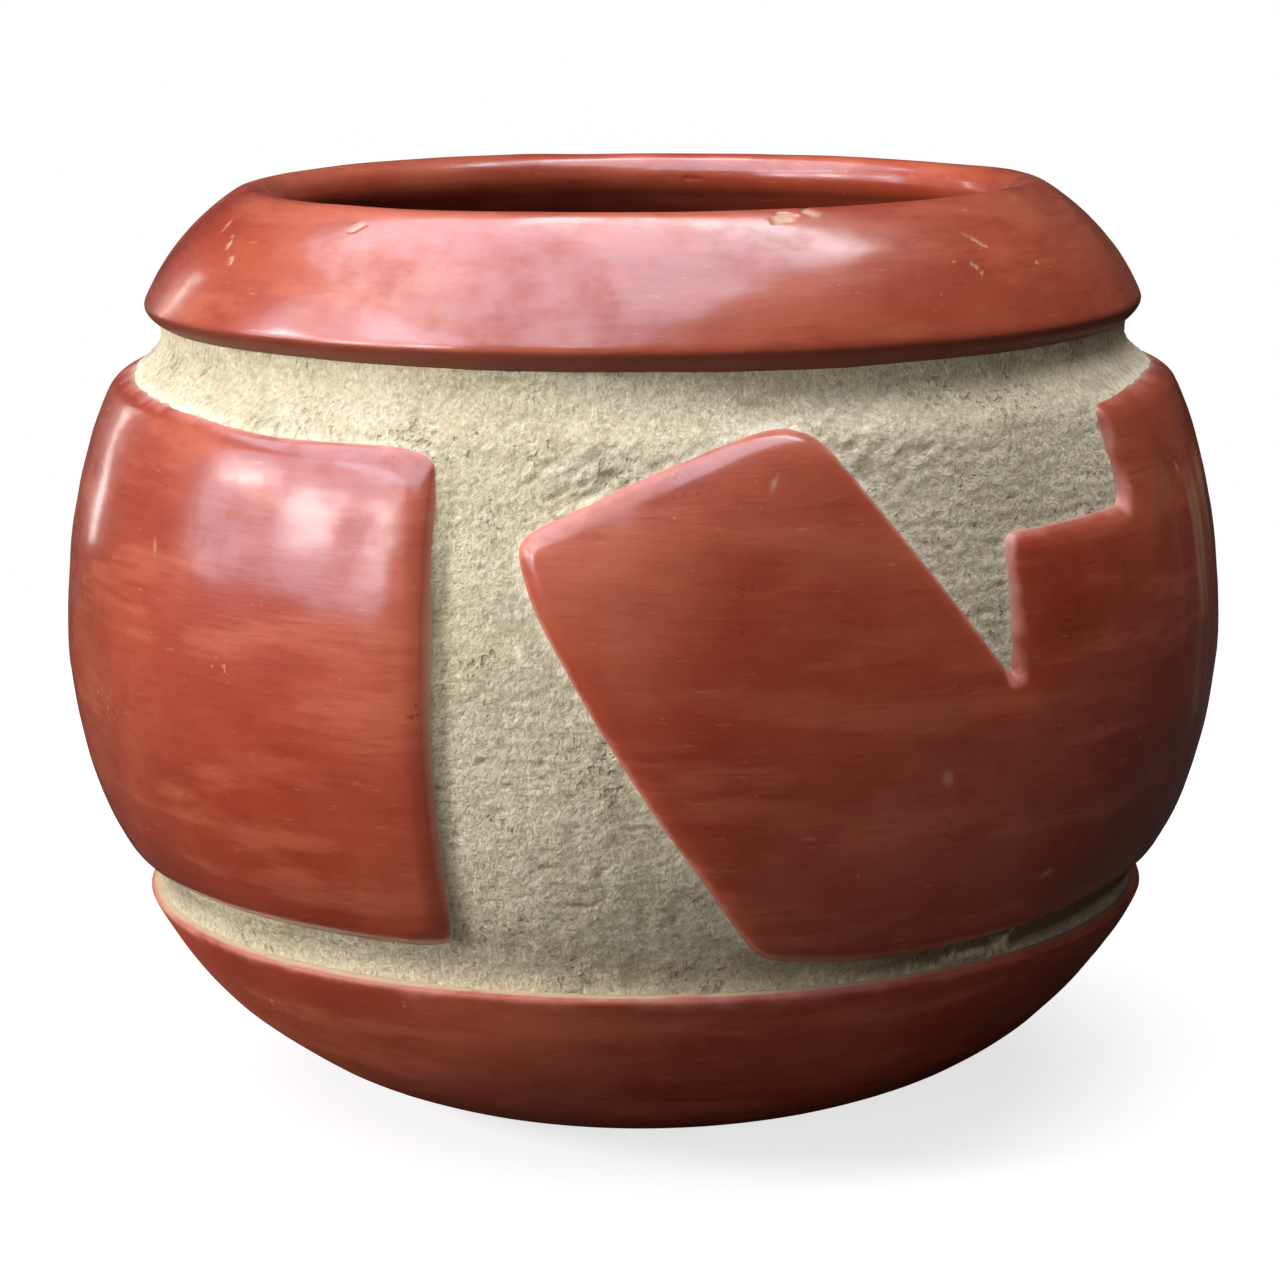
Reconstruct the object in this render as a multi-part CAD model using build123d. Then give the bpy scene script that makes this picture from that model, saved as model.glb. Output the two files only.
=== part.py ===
"""A coil-built clay olla with burnished raised panels on a scraped wall.

The pot is a moulded base bowl, a stack of wall coils, a collar and a lip, each seated on
the one below along a slanted lap joint. Two relief panels are seated on the wall.

Millimetres, +Z up. The origin is the centre of the foot, on the surface the pot stands on.
Angles go round the pot in degrees from the front (-Y), growing towards the right (+X).
"""
from build123d import *
import os
from math import cos, radians, sin, sqrt

# Wall: the scraped ground that shows between the panels
BELLY_RADIUS = 198.0      # widest radius, measured over the panels
WALL_HEIGHT = 193.5       # from the top of the base to the underside of the collar
BELLY_RISE = 90.0         # widest level above the top of the base
WALL = 10.0               # thickness of the wall coils
HIP_INSET = 32.0          # the wall's foot lies this far in from the widest radius
NECK_INSET = 34.0         # the neck lies this far in from the widest radius
NECK_HEIGHT = 5.5         # straight neck under the collar
SHOULDER_STEP = 13.5      # the shoulder stands this far out from the neck
SHOULDER_HEIGHT = 16.0    # height of the turn from shoulder to neck
COIL_COUNT = 5            # wall coils in the stack
LAP_RISE = 6.0            # each lap joint climbs this far through one wall thickness

# Base bowl
FOOT_RADIUS = 76.0        # flat ring that the pot stands on
BASE_HEIGHT = 72.0        # top edge of the base above the foot
BASE_LEDGE = 7.5          # the base's top edge stands this far out from the wall
BASE_BULGE = 14.5         # the base's outer curve swells this far beyond a straight side
BASE_ROUND = 2.5          # rounding of the base's top edge
FLOOR = 12.0              # thickness of the floor
FLOOR_RADIUS = 44.0       # flat part of the floor inside

# Collar and lip
COLLAR_HEIGHT = 45.0      # from the collar's underside to the crest of the lip
COLLAR_OVERHANG = 5.7     # the collar's nose stands this far out from the neck
COLLAR_NOSE = 5.0         # rounding of the nose
COLLAR_ARC = 80.0         # radius of the collar's outer slope
COLLAR_REACH = 45.5       # the mouth lies this far in from the nose
LIP_THICKNESS = 16.5      # the lip is fully round, this thick
LIP_HEIGHT = 17.0         # height of the lip piece below its crest

# Relief panels
PANEL_NAMES = ("front_relief_panel", "back_relief_panel")  # equal panels, spaced evenly round the pot
RELIEF = 5.0              # the panels stand this far out from the wall
GROOVE = 13.0             # bare band between the base and the panels
PANEL_TOP_GAP = 17.5      # bare band between the panels and the collar
PANEL_ROUND = 2.5         # rounding of the panels' outer edges
CORNER_ROUND = 5.0        # rounding of the outline's corners
NOTCH_ROUND = 2.0         # rounding of the notch's point
PANEL_SPACING = 7.0       # degrees from one panel's end to the next panel's bar tip
BAR_TIP_ANGLE = -11.8     # left tip of the slanted bar
BAR_TIP_DROP = 30.0       # the tip's depth under the panel's top
BAR_PEAK_ANGLE = 16.0     # where the bar's two upper edges would meet
BAR_PEAK_RISE = 5.0       # that meeting point's height over the panel's top, which cuts it
BAR_FOOT_ANGLE = 11.7     # where the bar's left edge reaches the panel's bottom
STEP_ANGLE = 36.0         # upright side of the notch, left side of the step
STEP_WIDTH = 17.0         # degrees from there to the full-height block
STEP_DEPTH = 33.5         # the step's depth under the panel's top
NOTCH_DEPTH = 86.0        # depth of the notch's point under the panel's top

# Levels and radii that follow from the sizes above
BELLY_Z = BASE_HEIGHT + BELLY_RISE
COLLAR_Z = BASE_HEIGHT + WALL_HEIGHT
NECK_Z = COLLAR_Z - NECK_HEIGHT
SHOULDER_Z = NECK_Z - SHOULDER_HEIGHT
CREST_Z = COLLAR_Z + COLLAR_HEIGHT
PANEL_BOTTOM = BASE_HEIGHT + GROOVE
PANEL_TOP = COLLAR_Z - PANEL_TOP_GAP
WALL_RADIUS = BELLY_RADIUS - RELIEF
HIP_RADIUS = BELLY_RADIUS - HIP_INSET
NECK_RADIUS = BELLY_RADIUS - NECK_INSET
SHOULDER_RADIUS = NECK_RADIUS + SHOULDER_STEP
NOSE_RADIUS = NECK_RADIUS + COLLAR_OVERHANG
LIP_ROUND = LIP_THICKNESS / 2
CREST_RADIUS = NOSE_RADIUS - COLLAR_REACH + LIP_ROUND
OUTSIDE = 2 * BELLY_RADIUS

# Construction allowances
CUT_MARGIN = 20.0         # the outline's cutter passes the panel's top and bottom by this
CUT_ANGLE = 5.0           # degrees of band left of the bar's tip, which the cutter takes off
CUT_STRETCH = 1.5         # the bar's left edge is drawn on this far past the panel's bottom
CUT_DEPTHS = (0.4, 1.3)   # the cutter's inner and outer ends, as shares of the widest radius
LAP_REACH = 3             # a lap joint's slope is drawn over this many wall thicknesses
SHARP_ANGLE = 20.0        # degrees past which two sides meet in a corner


def belly_arc(radius, level):
    """Radius and centre of the arc that is upright at the wall's widest point and passes (radius, level)."""
    rise = level - BELLY_Z
    inset = WALL_RADIUS - radius
    arc = (rise**2 + inset**2) / (2 * inset)
    return arc, Vector(WALL_RADIUS - arc, BELLY_Z)


UPPER_ARC, UPPER_CENTRE = belly_arc(SHOULDER_RADIUS, SHOULDER_Z)
LOWER_ARC, LOWER_CENTRE = belly_arc(HIP_RADIUS, BASE_HEIGHT)


def radius_at(level, outset=0.0):
    """Radius of the wall's belly curve at a level, moved out by an even outset."""
    arc, centre = (UPPER_ARC, UPPER_CENTRE) if level > BELLY_Z else (LOWER_ARC, LOWER_CENTRE)
    return centre.X + sqrt((arc + outset)**2 - (level - BELLY_Z)**2)


def belly_line(bottom, top, outset=0.0):
    """The two belly arcs from a bottom level up to a top level, moved out by an even outset."""
    waist = Vector(WALL_RADIUS + outset, BELLY_Z)
    low = Vector(radius_at(bottom, outset), bottom)
    high = Vector(radius_at(top, outset), top)
    lower = RadiusArc(waist, low, LOWER_ARC + outset)
    upper = RadiusArc(high, waist, UPPER_ARC + outset)
    return [lower, upper]


def double_arc(start, start_way, end, end_way):
    """Two tangent arcs that leave start along start_way and reach end along end_way."""
    span = end - start
    ways = start_way + end_way
    bend = 2 * (1 - start_way.dot(end_way))
    run = span.dot(ways)
    reach = span.dot(span) / (run + sqrt(run**2 + bend * span.dot(span)))
    middle = ((start + start_way * reach) + (end - end_way * reach)) * 0.5
    return [TangentArc(start, middle, tangent=start_way), TangentArc(end, middle, tangent=end_way * -1)]


def wall_line(inset=0.0):
    """The wall's profile from the base up to the collar, moved in by an even inset."""
    shoulder_out = (Vector(SHOULDER_RADIUS, SHOULDER_Z) - UPPER_CENTRE).normalized()
    shoulder = UPPER_CENTRE + shoulder_out * (UPPER_ARC - inset)
    shoulder_way = Vector(-shoulder_out.Y, shoulder_out.X)
    neck = Vector(NECK_RADIUS - inset, NECK_Z)
    turn = double_arc(shoulder, shoulder_way, neck, Vector(0, 1))
    straight = Line(neck, Vector(neck.X, COLLAR_Z))
    return belly_line(BASE_HEIGHT, shoulder.Y, -inset) + turn + [straight]


def circles_meet(first, first_radius, second, second_radius):
    """The lower left point where two circles cross."""
    across = second - first
    along = (first_radius**2 - second_radius**2 + across.dot(across)) / (2 * across.length)
    aside = sqrt(first_radius**2 - along**2)
    way = across.normalized()
    return first + way * along + Vector(-way.Y, way.X) * aside


def collar_line():
    """The collar's profile: underside, nose, outer slope, round lip and inner slope down to the neck."""
    nose = Vector(NOSE_RADIUS - COLLAR_NOSE, COLLAR_Z + COLLAR_NOSE)
    lip = Vector(CREST_RADIUS, CREST_Z - LIP_ROUND)
    slope_centre = circles_meet(nose, COLLAR_ARC - COLLAR_NOSE, lip, COLLAR_ARC - LIP_ROUND)
    nose_out = (nose - slope_centre).normalized()
    lip_out = (lip - slope_centre).normalized()
    lip_way = Vector(-lip_out.Y, lip_out.X)
    nose_low = nose - Vector(0, COLLAR_NOSE)
    nose_high = nose + nose_out * COLLAR_NOSE
    lip_outer = lip + lip_out * LIP_ROUND
    lip_inner = lip - lip_out * LIP_ROUND
    lip_end = lip + lip_way * LIP_ROUND
    return [
        Line(Vector(NECK_RADIUS, COLLAR_Z), nose_low),
        TangentArc(nose_low, nose_high, tangent=Vector(1, 0)),
        RadiusArc(lip_outer, nose_high, COLLAR_ARC),
        ThreePointArc(lip_outer, lip_end, lip_inner),
        TangentArc(lip_inner, Vector(NECK_RADIUS - WALL, COLLAR_Z), tangent=lip_way * -1),
    ]


def base_line():
    """The base's profile: foot, swelling outer curve, ledge, and inside down to the floor."""
    hip = Vector(HIP_RADIUS, BASE_HEIGHT)
    edge = Vector(HIP_RADIUS + BASE_LEDGE, BASE_HEIGHT)
    foot = Vector(FOOT_RADIUS, 0)
    inner_hip = Vector(radius_at(BASE_HEIGHT, -WALL), BASE_HEIGHT)
    inner_out = (inner_hip - LOWER_CENTRE).normalized()
    inner_way = Vector(inner_out.Y, -inner_out.X)
    floor_edge = Vector(FLOOR_RADIUS, FLOOR)
    bowl = double_arc(inner_hip, inner_way, floor_edge, Vector(-1, 0))
    outside = [Line(Vector(0, 0), foot), SagittaArc(foot, edge, -BASE_BULGE), Line(edge, hip)]
    return outside + bowl + [Line(floor_edge, Vector(0, FLOOR)), Line(Vector(0, FLOOR), Vector(0, 0))]


def pot_section():
    """The whole pot's wall, cut through on one side of its axis."""
    section = make_face(base_line() + wall_line() + collar_line() + wall_line(WALL))
    edge = section.vertices().sort_by_distance((HIP_RADIUS + BASE_LEDGE, BASE_HEIGHT))[0]
    return fillet(edge, BASE_ROUND)


def lap(level):
    """A lap joint's line from the axis outwards: it leaves the wall's outside at a level, climbing inwards."""
    radius = NECK_RADIUS if level > NECK_Z else radius_at(level)
    inner = radius - LAP_REACH * WALL
    climbed = level + LAP_REACH * LAP_RISE
    return [Vector(0, climbed), Vector(inner, climbed), Vector(radius, level), Vector(OUTSIDE, level)]


def flat(level):
    """A level joint's line from the axis outwards."""
    return [Vector(0, level), Vector(OUTSIDE, level)]


def between(section, low, high):
    """The part of the section between two joints."""
    return section & make_face(Polyline(*low, *reversed(high), close=True))


def turned(face, start=0.0, sweep=360.0):
    """A section turned about the pot's axis, from one angle over a sweep."""
    upright = Rot(0, 0, start - 90) * (Plane.XZ * face)
    return revolve(upright, Axis.Z, sweep)


def raised_line():
    """The panels' raised face in section: one smooth curve, standing an even relief out from the wall."""
    low = Vector(radius_at(PANEL_BOTTOM, RELIEF), PANEL_BOTTOM)
    waist = Vector(BELLY_RADIUS, BELLY_Z)
    high = Vector(radius_at(PANEL_TOP, RELIEF), PANEL_TOP)
    low_out = low - LOWER_CENTRE
    high_out = high - UPPER_CENTRE
    ways = [Vector(-low_out.Y, low_out.X), Vector(-high_out.Y, high_out.X)]
    return Spline(low, waist, high, tangents=ways)


def panel_section(section):
    """Section of a relief panel: from the wall's surface out to the raised face."""
    raised = raised_line()
    high_in = Vector(0, PANEL_TOP)
    low_in = Vector(0, PANEL_BOTTOM)
    sides = [Line(raised @ 1, high_in), Line(high_in, low_in), Line(low_in, raised @ 0)]
    filled = make_face([raised] + sides)
    return (filled - section).faces().sort_by(Axis.X)[-1]


def outline_point(angle, level, facing):
    """A point of the panels' face, carried along its ray from the pot's centre to a flat sheet before it."""
    radius = radius_at(level, RELIEF)
    turn = radians(angle - facing)
    stretch = BELLY_RADIUS / cos(turn)
    return Vector(stretch * sin(turn), stretch * (level - BELLY_Z) / radius)


def outline_cutter():
    """What is cut from a panel: the bare ground left of the slanted bar and above the notch and step."""
    block_angle = STEP_ANGLE + STEP_WIDTH
    clear_angle = BAR_TIP_ANGLE - 2 * CUT_ANGLE
    facing = (BAR_TIP_ANGLE + block_angle) / 2
    over = PANEL_TOP + CUT_MARGIN
    tip = outline_point(BAR_TIP_ANGLE, PANEL_TOP - BAR_TIP_DROP, facing)
    foot = outline_point(BAR_FOOT_ANGLE, PANEL_BOTTOM, facing)
    peak = outline_point(BAR_PEAK_ANGLE, PANEL_TOP + BAR_PEAK_RISE, facing)
    notch = outline_point(STEP_ANGLE, PANEL_TOP - NOTCH_DEPTH, facing)
    step_corner = outline_point(STEP_ANGLE, PANEL_TOP - STEP_DEPTH, facing)
    step_back = outline_point(block_angle, PANEL_TOP - STEP_DEPTH, facing)
    over_block = outline_point(block_angle, over, facing)
    over_left = outline_point(clear_angle, over, facing)
    under_left = outline_point(clear_angle, PANEL_BOTTOM - CUT_MARGIN, facing)
    under_foot = tip + (foot - tip) * CUT_STRETCH
    corners = [under_foot, tip, peak, notch, step_corner, step_back, over_block, over_left, under_left]
    sheet = make_face(Polyline(*corners, close=True))
    for corner, rounding in (
        (tip, CORNER_ROUND),
        (notch, NOTCH_ROUND),
        (step_corner, CORNER_ROUND),
        (step_back, CORNER_ROUND),
    ):
        sheet = fillet(sheet.vertices().sort_by_distance(corner)[0], rounding)
    ends = [Pos(0, -share * BELLY_RADIUS, 0) * (Plane.XZ * scale(sheet, by=share)) for share in CUT_DEPTHS]
    return Pos(0, 0, BELLY_Z) * (Rot(0, 0, facing) * loft(ends, ruled=True))


def raised_face(panel):
    """The panel's raised face, which is its largest."""
    return panel.faces().sort_by(SortBy.AREA)[-1]


def outline_turn(panel, edge):
    """Degrees by which the panel's sides turn at an edge."""
    sides = [face for face in panel.faces() if any(edge.is_same(other) for other in face.edges())]
    normals = [side.normal_at(edge @ 0.5) for side in sides]
    return normals[0].get_angle(normals[1])


def sharp_corners(panel):
    """The edges through the panel's thickness where its outline turns sharply."""
    rim = raised_face(panel).vertices()
    corners = []
    for edge in panel.edges():
        rim_ends = [end for end in edge.vertices() if any(end.is_same(other) for other in rim)]
        if len(rim_ends) == 1 and outline_turn(panel, edge) > SHARP_ANGLE:
            corners.append(edge)
    return corners


def relief_panel(section):
    """One relief panel: a band on the wall, cut to its outline, with rounded corners and outer edges."""
    start = BAR_TIP_ANGLE - CUT_ANGLE
    end = BAR_TIP_ANGLE + 360 / len(PANEL_NAMES) - PANEL_SPACING
    band = turned(panel_section(section), start, end - start)
    panel = band - outline_cutter()
    panel = fillet(sharp_corners(panel), CORNER_ROUND)
    return fillet(raised_face(panel).edges(), PANEL_ROUND)


def save(piece, name):
    """Write one piece to its own file."""
    export_step(piece, f"parts/{name}.step")


def main():
    os.makedirs("parts", exist_ok=True)
    section = pot_section()
    lip_seat = flat(CREST_Z - LIP_HEIGHT)
    save(turned(between(section, flat(-CUT_MARGIN), lap(BASE_HEIGHT))), "base_bowl")
    coil_height = WALL_HEIGHT / COIL_COUNT
    laps = [lap(BASE_HEIGHT + coil_height * step) for step in range(COIL_COUNT + 1)]
    for step in range(COIL_COUNT):
        save(turned(between(section, laps[step], laps[step + 1])), f"wall_coil_{step + 1}")
    save(turned(between(section, lap(COLLAR_Z), lip_seat)), "rim_collar")
    save(turned(between(section, lip_seat, flat(CREST_Z + CUT_MARGIN))), "mouth_lip")
    panel = relief_panel(section)
    for step, name in enumerate(PANEL_NAMES):
        save(Rot(0, 0, step * 360 / len(PANEL_NAMES)) * panel, name)


main()
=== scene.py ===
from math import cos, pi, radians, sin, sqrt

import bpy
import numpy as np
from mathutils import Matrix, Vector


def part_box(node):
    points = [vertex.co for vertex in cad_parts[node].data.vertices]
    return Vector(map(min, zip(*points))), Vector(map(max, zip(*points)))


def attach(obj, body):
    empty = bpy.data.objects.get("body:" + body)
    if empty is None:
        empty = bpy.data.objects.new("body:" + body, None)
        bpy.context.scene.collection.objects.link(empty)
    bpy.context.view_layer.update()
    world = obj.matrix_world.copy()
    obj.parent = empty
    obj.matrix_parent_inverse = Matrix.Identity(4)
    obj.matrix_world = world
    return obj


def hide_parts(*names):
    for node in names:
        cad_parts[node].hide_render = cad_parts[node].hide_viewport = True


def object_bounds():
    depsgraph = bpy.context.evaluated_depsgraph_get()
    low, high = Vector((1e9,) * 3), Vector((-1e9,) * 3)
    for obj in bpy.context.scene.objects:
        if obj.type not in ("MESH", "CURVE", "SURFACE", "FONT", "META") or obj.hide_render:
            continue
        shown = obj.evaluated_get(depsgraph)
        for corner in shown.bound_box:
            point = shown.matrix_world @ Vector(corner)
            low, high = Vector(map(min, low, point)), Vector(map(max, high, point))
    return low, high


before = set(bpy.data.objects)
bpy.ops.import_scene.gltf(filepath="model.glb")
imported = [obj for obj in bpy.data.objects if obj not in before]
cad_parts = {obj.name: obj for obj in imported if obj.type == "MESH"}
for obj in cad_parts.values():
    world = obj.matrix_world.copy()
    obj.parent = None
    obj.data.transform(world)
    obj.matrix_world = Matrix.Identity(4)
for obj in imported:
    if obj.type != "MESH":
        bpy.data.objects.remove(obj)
cad_low, cad_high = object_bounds()

# The looks of a hand-built clay olla: a scraped buff wall between burnished red panels, a red base and a
# red collar. Shapes are worked out in millimetres round the pot's axis and put into the meshes in metres.
# Angles go round from the front (-Y), in degrees, growing towards the right (+X).

MM = 0.001

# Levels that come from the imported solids
BASE_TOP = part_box("wall_coil_1")[0].z / MM
COLLAR_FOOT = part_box("rim_collar")[0].z / MM
LIP_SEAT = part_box("mouth_lip")[0].z / MM
CREST = cad_high.z / MM
GROUND_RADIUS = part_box("wall_coil_3")[1].x / MM

# Wall
COILS = 5
WIDEST_LEVEL = 162.0      # where the belly is widest
HIP_RADIUS = 166.0        # scraped wall at the top of the base
HIP_FLARE = 3.2           # the scraped clay is drawn out over the base's ledge by this much
FLARE_HEIGHT = 9.0
SHOULDER_LEVEL = 244.0    # where the shoulder turns in
SHOULDER_RADIUS = 177.5
NECK_LEVEL = 260.0        # where the neck is upright
NECK_RADIUS = 164.0
WALL = 10.0               # thickness of the coils
LAP_RISE = 6.0            # a lap joint's climb through the wall

# Base
FOOT_RADIUS = 76.0
BASE_EDGE_RADIUS = 173.5  # top edge of the base
BASE_BULGE = 14.5         # how far the base's side swells past a straight line
FLOOR_LEVEL = 12.0        # inside floor
FLOOR_RADIUS = 44.0

# Collar and lip
NOSE_RADIUS = 169.7       # widest point of the collar
NOSE_RISE = 6.3           # the nose's height over the collar's foot
SLOPE_RADIUS = 80.0       # the collar's outer slope is an arc of this radius
LIP_ROUND = 8.25
LIP_START = 59.5          # angle on the round lip, in degrees, where the outer slope meets it
CREST_RADIUS = 132.45
CREASE = 1.3              # softness of the crease at the nose

# Relief panels
RELIEF = 5.0              # the panels stand this far out from the ground
ROLL = 6.5                # width over which a panel's edge rolls down to the ground
END_ROLL = 5.0            # the edge of its end rolls down over this much more
SWELL = 24.0              # width over which its face still swells
BURY = 1.5                # a panel's outline lies this far under the ground's surface
BACKING = 2.5             # and its back this much deeper
OUTLINE_ROUND = 6.2       # softness of the outline's corners
END_ROUND = 9.5           # of the two corners at its end
STEP_ROUND = 3.4          # of the stepped block's corners
NOTCH_ROUND = 1.2         # and of the notch
FLAT_RADIUS = 192.0       # angles are turned to lengths at this radius
PANEL_TURN = 180.0        # degrees from one panel to the next
BAND_START = -15.3        # degrees where the front panel's stretch of the wall begins

# Weather, use and painted shade
SOOT_AND_SHADE_ANGLE = 70.0         # middle of the stretch of the groove under the panels darkened by soot and painted shade
BASE_SOOT_ANGLE = 72.0    # middle of the sooty stretch of the base's edge below it
WEATHER_ANGLE = 77.0      # middle of the weathered stretch of the front panel

# Fineness of the meshes
WALL_STEPS = 1000         # round the pot, on the coils
ROUND_STEPS = 800         # and on the other rings
WALL_ROWS = 60
JOINT_ROWS = 3            # across the face of a lap joint
PANEL_COLUMNS = 620
PANEL_ROWS = 72

# Camera, fitted to the photograph's outline
CAMERA_PLACE = (0, -1.345, 0.4135)
CAMERA_DOWN = 11.043      # degrees it looks down
CAMERA_ROLL = -0.4
CAMERA_LENS = 110.75
CAMERA_SHIFT = -0.00273


# Noise and small helpers

def mixed(cells, seed):
    """A value from 0 to 1 for each whole-number place: its three numbers multiplied, added and scrambled."""
    whole = cells.astype(np.int64).astype(np.uint32)
    n = whole[..., 0] * np.uint32(374761393)
    n = n + whole[..., 1] * np.uint32(668265263)
    n = n + whole[..., 2] * np.uint32(2246822519)
    n = n + np.uint32(seed * 2654435 + 12345)
    n = (n ^ (n >> np.uint32(15))) * np.uint32(2246822519)
    n = (n ^ (n >> np.uint32(13))) * np.uint32(3266489917)
    n = n ^ (n >> np.uint32(16))
    return n.astype(np.float64) / 4294967295.0


def noise(points, size, seed):
    """Smooth noise from -1 to 1: lattice values blended between the eight corners of each cell."""
    scaled = points / np.asarray(size, float)
    cell = np.floor(scaled)
    part = scaled - cell
    fade = part ** 3 * (part * (part * 6 - 15) + 10)
    total = np.zeros(points.shape[:-1])
    for corner in range(8):
        step = np.array([corner & 1, corner >> 1 & 1, corner >> 2 & 1])
        weight = np.prod(np.where(step == 1, fade, 1 - fade), axis=-1)
        total += weight * mixed(cell + step, seed)
    return 2 * total - 1


def smooth(low, high, value):
    """0 below low, 1 above high, and an S curve between."""
    share = np.clip((value - low) / (high - low), 0, 1)
    return share * share * (3 - 2 * share)


def around(angle, radius, level):
    """Points of the pot from an angle in radians, a radius and a level."""
    return np.stack([radius * np.sin(angle), -radius * np.cos(angle), level + 0 * angle * radius], axis=-1)


def bow(start, end, bulge, count):
    """Points along the circular arc from start to end that swells by bulge to the right of the way."""
    start, end = np.asarray(start, float), np.asarray(end, float)
    half = np.linalg.norm(end - start) / 2
    along = (end - start) / (2 * half)
    aside = np.array([along[1], -along[0]])
    radius = (half ** 2 + bulge ** 2) / (2 * bulge)
    centre = (start + end) / 2 + aside * (bulge - radius)
    reach = np.arcsin(half / radius)
    turn = np.linspace(-reach, reach, count)[:, None]
    return centre + radius * (np.cos(turn) * aside + np.sin(turn) * along)


def lengths_along(line):
    """The length of the way along a line to each of its points."""
    return np.concatenate([[0], np.cumsum(np.linalg.norm(np.diff(line, axis=0), axis=1))])


def on_line(line, lengths, places):
    """Points on a line at places along it, from the lengths to its own points."""
    return np.stack([np.interp(places, lengths, line[:, axis]) for axis in range(2)], axis=-1)


def evenly(line, count):
    """The line's points spread again at even steps of its length."""
    lengths = lengths_along(line)
    return on_line(line, lengths, np.linspace(0, lengths[-1], count))


def bell_reach(softness, step):
    """How many steps a bell-weighted mean reaches to each side: three times its softness."""
    return int(3 * softness / step)


def bell_mean(padded, softness, step):
    """Each point replaced by a bell-weighted mean of its neighbours; the padding at both ends is used up."""
    reach = bell_reach(softness, step)
    bell = np.exp(-0.5 * (np.arange(-reach, reach + 1) * step / softness) ** 2)
    bell /= bell.sum()
    return np.stack([np.convolve(padded[:, axis], bell, "valid") for axis in range(2)], axis=1)


def softened(line, softness, step=0.25):
    """An open line with its corners rounded by a bell-weighted mean, its ends kept in place."""
    fine = evenly(line, int(lengths_along(line)[-1] / step) + 2)
    reach = bell_reach(softness, step)
    before = 2 * fine[0] - fine[reach:0:-1]
    after = 2 * fine[-1] - fine[-2:-reach - 2:-1]
    return bell_mean(np.concatenate([before, fine, after]), softness, step)


# The pot's profile

def belly_arc(level, end_level, end_radius):
    """Radius at a level of the arc that is upright at the widest level and passes its end."""
    rise = end_level - WIDEST_LEVEL
    inset = GROUND_RADIUS - end_radius
    arc = (rise ** 2 + inset ** 2) / (2 * inset)
    return GROUND_RADIUS - arc + np.sqrt(np.maximum(arc ** 2 - (level - WIDEST_LEVEL) ** 2, 0))


def belly_radius(level):
    """Radius of the belly: one arc below the widest level and a flatter one above."""
    lower = belly_arc(level, BASE_TOP, HIP_RADIUS)
    upper = belly_arc(level, SHOULDER_LEVEL, SHOULDER_RADIUS)
    return np.where(level > WIDEST_LEVEL, upper, lower)


def ground_radius(level):
    """Radius of the scraped ground: a flare out to the base, the belly, then a cubic turn to the neck."""
    height = NECK_LEVEL - SHOULDER_LEVEL
    just_under = SHOULDER_LEVEL - 0.5
    slope = (SHOULDER_RADIUS - belly_radius(np.array(just_under))) / 0.5
    t = np.clip((level - SHOULDER_LEVEL) / height, 0, 1)
    turn = (2 * t ** 3 - 3 * t ** 2 + 1) * SHOULDER_RADIUS
    turn = turn + (t ** 3 - 2 * t ** 2 + t) * height * slope
    turn = turn + (3 * t ** 2 - 2 * t ** 3) * NECK_RADIUS
    flare = HIP_FLARE * np.clip(1 - (level - BASE_TOP) / FLARE_HEIGHT, 0, 1) ** 2
    return np.where(level > SHOULDER_LEVEL, turn, belly_radius(level) + flare)


def inner_radius(level):
    """Radius of the wall's inside: the ground, in by one wall thickness measured square to the slope."""
    slope = belly_radius(level + 0.5) - belly_radius(level - 0.5)
    neck = np.maximum(level - SHOULDER_LEVEL, 0) / (NECK_LEVEL - SHOULDER_LEVEL)
    turn_in = np.where(level > SHOULDER_LEVEL, ground_radius(level) - belly_radius(level), 0)
    return belly_radius(level) + turn_in - WALL * np.sqrt(1 + slope ** 2 * np.clip(1 - neck, 0, 1))


def collar_outside():
    """The collar's outer line: a short under-slope to the nose, then the long arc up to the round lip."""
    nose = np.array([NOSE_RADIUS, COLLAR_FOOT + NOSE_RISE])
    under = bow((NECK_RADIUS, COLLAR_FOOT), nose, 1.0, 20)
    lip = np.array([CREST_RADIUS, CREST - LIP_ROUND])
    top = lip + LIP_ROUND * np.array([cos(radians(LIP_START)), sin(radians(LIP_START))])
    half = np.linalg.norm(top - nose) / 2
    slope = bow(nose, top, SLOPE_RADIUS - sqrt(SLOPE_RADIUS ** 2 - half ** 2), 80)
    turn = np.radians(np.linspace(LIP_START, LIP_START + 180, 60))
    round_lip = lip + LIP_ROUND * np.stack([np.cos(turn), np.sin(turn)], axis=1)
    throat = bow(round_lip[-1], (NECK_RADIUS - WALL, COLLAR_FOOT + LAP_RISE), 1.6, 40)
    return np.concatenate([under, slope[1:], round_lip[1:], throat[1:]])


def base_outside():
    """The base's outer line: flat foot, swelling side, rounded top edge and the ledge in to the wall."""
    side = bow((FOOT_RADIUS, 0), (BASE_EDGE_RADIUS, BASE_TOP - 0.8), BASE_BULGE, 120)
    ledge = np.array([[HIP_RADIUS + HIP_FLARE, BASE_TOP]])
    return np.concatenate([side, ledge])


# Meshes

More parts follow.
